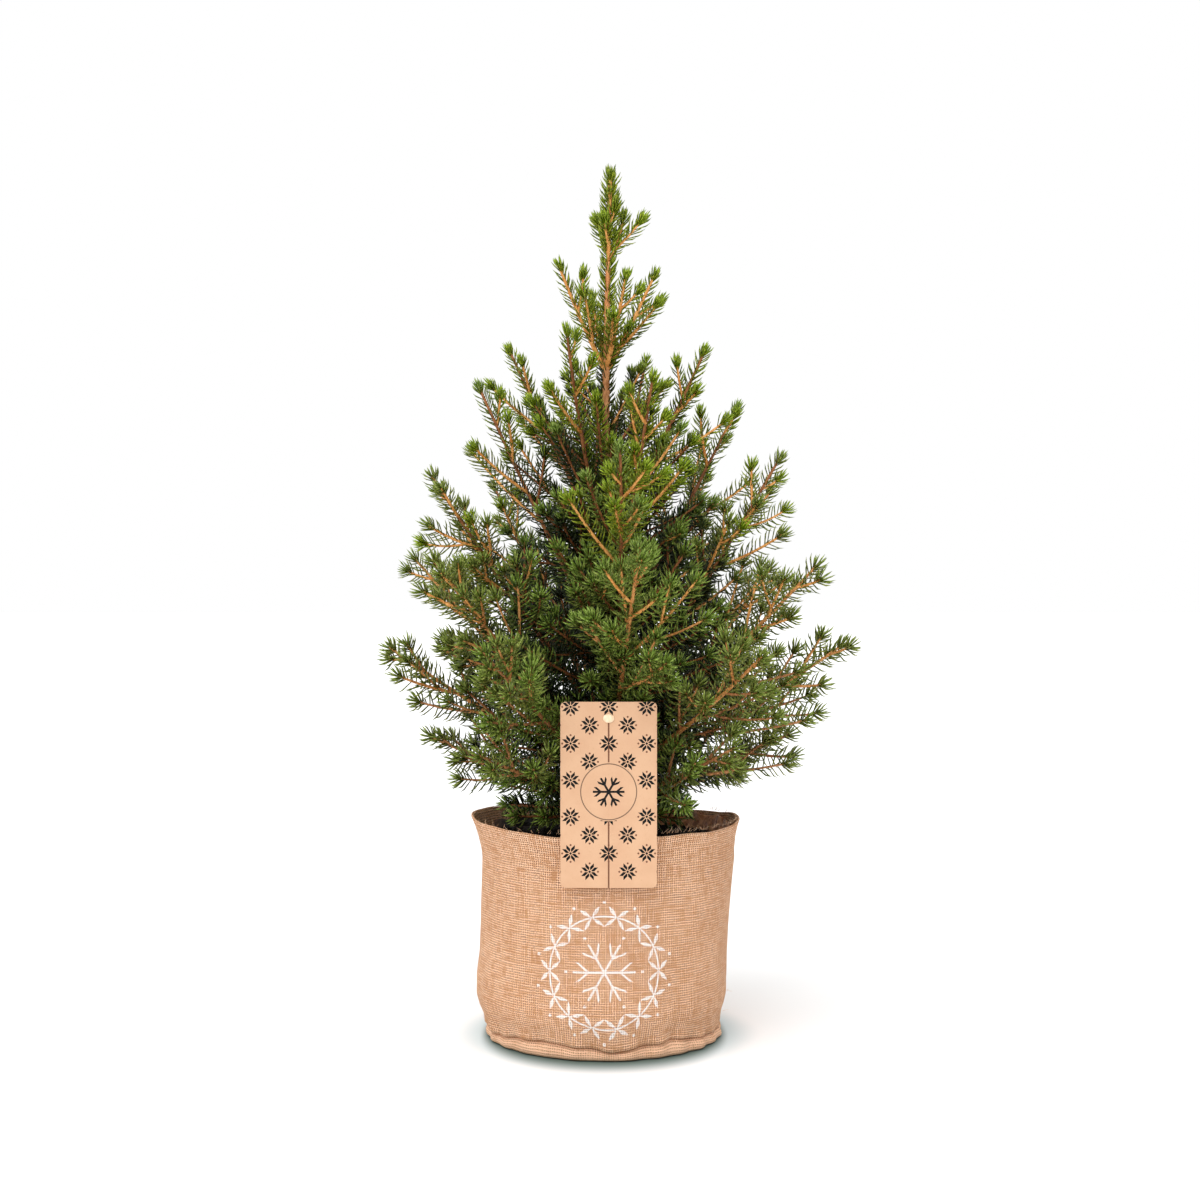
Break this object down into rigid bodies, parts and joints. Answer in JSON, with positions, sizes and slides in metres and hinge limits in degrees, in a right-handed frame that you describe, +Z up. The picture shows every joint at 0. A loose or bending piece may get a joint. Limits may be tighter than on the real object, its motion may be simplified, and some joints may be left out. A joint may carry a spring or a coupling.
{
  "type": "potted alberta spruce",
  "caption": "Young cone-shaped alberta spruce with upswept needled twigs, in soil in a round jute bag with a card tag on a peg; stands on its flat base.",
  "frame": {"origin": "middle of the bag's flat underside", "axes": "+Z up along the trunk, -Y to the front with the card tag, +X to the right seen from the front"},
  "size_m": [0.35, 0.343, 0.65],
  "materials": {
    "jute_weave": "coarse matt weave",
    "potting_soil": "damp, crumbly, matt",
    "young_bark": "matt orange-brown bark",
    "spruce_needles": "waxy green needles",
    "kraft_card": "matt printed card",
    "pale_wood": "smooth pale wood"
  },
  "bodies": {
    "root": {"bough_skirt_1": "young_bark", "bough_skirt_2": "young_bark", "bough_skirt_3": "young_bark", "bough_skirt_4": "young_bark", "bough_skirt_5": "young_bark", "bough_waist_1": "young_bark", "bough_waist_2": "young_bark", "bough_waist_3": "young_bark", "bough_waist_4": "young_bark", "bough_waist_5": "young_bark", "bough_waist_6": "young_bark", "bough_wide_1": "young_bark", "bough_wide_2": "young_bark", "bough_wide_3": "young_bark", "bough_wide_4": "young_bark", "bough_wide_5": "young_bark", "bough_wide_6": "young_bark", "card_tag": "kraft_card", "jute_bag": "jute_weave", "needles_collar_1": "spruce_needles", "needles_collar_2": "spruce_needles", "needles_collar_3": "spruce_needles", "needles_collar_4": "spruce_needles", "needles_crest_1": "spruce_needles", "needles_crest_2": "spruce_needles", "needles_crest_3": "spruce_needles", "needles_crest_4": "spruce_needles", "needles_leader": "spruce_needles", "needles_neck_1": "spruce_needles", "needles_neck_2": "spruce_needles", "needles_neck_3": "spruce_needles", "needles_neck_4": "spruce_needles", "needles_shoulder_1": "spruce_needles", "needles_shoulder_2": "spruce_needles", "needles_shoulder_3": "spruce_needles", "needles_shoulder_4": "spruce_needles", "needles_shoulder_5": "spruce_needles", "needles_skirt_1": "spruce_needles", "needles_skirt_2": "spruce_needles", "needles_skirt_3": "spruce_needles", "needles_skirt_4": "spruce_needles", "needles_skirt_5": "spruce_needles", "needles_waist_1": "spruce_needles", "needles_waist_2": "spruce_needles", "needles_waist_3": "spruce_needles", "needles_waist_4": "spruce_needles", "needles_waist_5": "spruce_needles", "needles_waist_6": "spruce_needles", "needles_wide_1": "spruce_needles", "needles_wide_2": "spruce_needles", "needles_wide_3": "spruce_needles", "needles_wide_4": "spruce_needles", "needles_wide_5": "spruce_needles", "needles_wide_6": "spruce_needles", "soil": "potting_soil", "tag_peg": "pale_wood", "trunk": "young_bark"}
  },
  "joints": []
}
